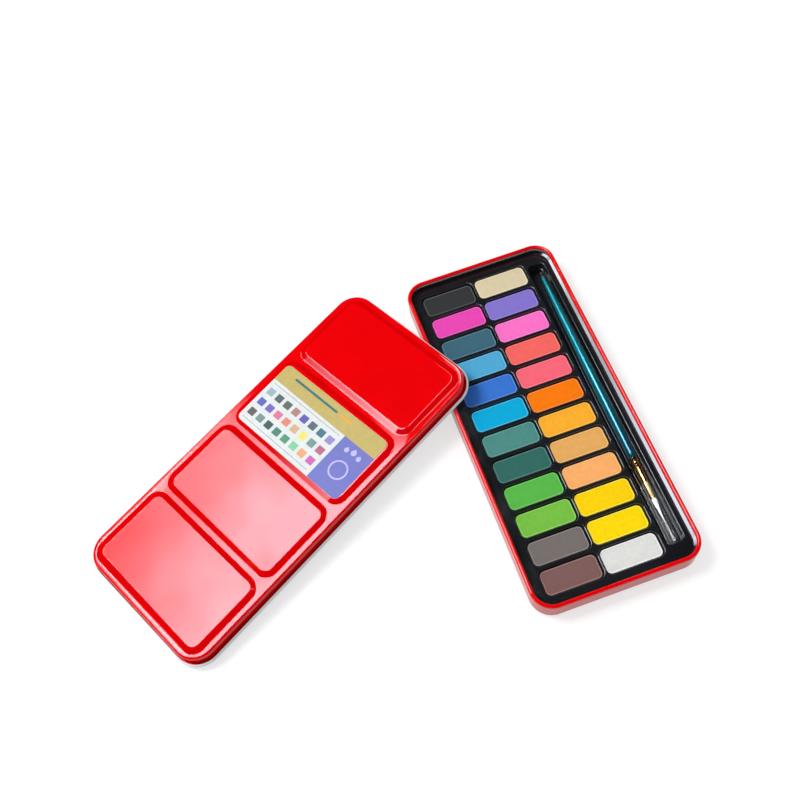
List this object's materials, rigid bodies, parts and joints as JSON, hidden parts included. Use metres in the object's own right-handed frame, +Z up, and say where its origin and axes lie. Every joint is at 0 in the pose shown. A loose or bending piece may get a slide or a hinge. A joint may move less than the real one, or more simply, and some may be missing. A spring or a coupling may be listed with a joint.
{
  "type": "watercolour paint box",
  "caption": "Slip-lid tin with a moulded tray of watercolour cakes, a sleeved brush in its channel, and the lid with raised mixing wells laid beside it.",
  "frame": {"origin": "middle of the tin's underside, on the surface that the tin stands on", "axes": "+Z up; +Y along the tin's long side towards the brush's tail; +X across the tin, from the lid's side to the brush channel"},
  "size_m": [0.3387, 0.2374, 0.0269],
  "materials": {
    "red_lacquer": "gloss",
    "black_tray": "gloss",
    "label_film": "satin",
    "teal_lacquer": "gloss",
    "gold_plate": "gloss",
    "white_hair": "matte",
    "clear_sleeve": "clear gloss",
    "paint_charcoal": "matte",
    "paint_magenta": "matte",
    "paint_slate_blue": "matte",
    "paint_sky_blue": "matte",
    "paint_cobalt": "matte",
    "paint_cerulean": "matte",
    "paint_viridian": "matte",
    "paint_pine": "matte",
    "paint_leaf": "matte",
    "paint_light_green": "matte",
    "paint_umber": "matte",
    "paint_mauve_brown": "matte",
    "paint_buff": "matte",
    "paint_violet": "matte",
    "paint_pink": "matte",
    "paint_coral": "matte",
    "paint_rose": "matte",
    "paint_orange": "matte",
    "paint_amber": "matte",
    "paint_ochre": "matte",
    "paint_peach": "matte",
    "paint_yellow": "matte",
    "paint_lemon": "matte",
    "paint_white": "matte"
  },
  "bodies": {
    "tin": {"base_tin": "red_lacquer", "paint_tray": "black_tray", "paint_cake_left_01": "paint_charcoal", "paint_cake_left_02": "paint_magenta", "paint_cake_left_03": "paint_slate_blue", "paint_cake_left_04": "paint_sky_blue", "paint_cake_left_05": "paint_cobalt", "paint_cake_left_06": "paint_cerulean", "paint_cake_left_07": "paint_viridian", "paint_cake_left_08": "paint_pine", "paint_cake_left_09": "paint_leaf", "paint_cake_left_10": "paint_light_green", "paint_cake_left_11": "paint_umber", "paint_cake_left_12": "paint_mauve_brown", "paint_cake_right_01": "paint_buff", "paint_cake_right_02": "paint_violet", "paint_cake_right_03": "paint_pink", "paint_cake_right_04": "paint_coral", "paint_cake_right_05": "paint_rose", "paint_cake_right_06": "paint_orange", "paint_cake_right_07": "paint_amber", "paint_cake_right_08": "paint_ochre", "paint_cake_right_09": "paint_peach", "paint_cake_right_10": "paint_yellow", "paint_cake_right_11": "paint_lemon", "paint_cake_right_12": "paint_white"},
    "lid": {"lid_shell": "red_lacquer", "lid_label": "label_film"},
    "brush": {"brush_handle": "teal_lacquer", "brush_ferrule": "gold_plate", "brush_hair": "white_hair"},
    "sleeve": {"bristle_sleeve": "clear_sleeve"}
  },
  "joints": [
    {"name": "lid_lift", "type": "slide", "parent": "tin", "child": "lid", "axis": [0, 0, 1], "range_m": [0, 0.06]},
    {"name": "brush_lift", "type": "slide", "parent": "tin", "child": "brush", "axis": [0, 0, 1], "range_m": [0, 0.04]},
    {"name": "sleeve_slide", "type": "slide", "parent": "brush", "child": "sleeve", "axis": [-0.0079, -1, 0], "range_m": [0, 0.001]}
  ]
}
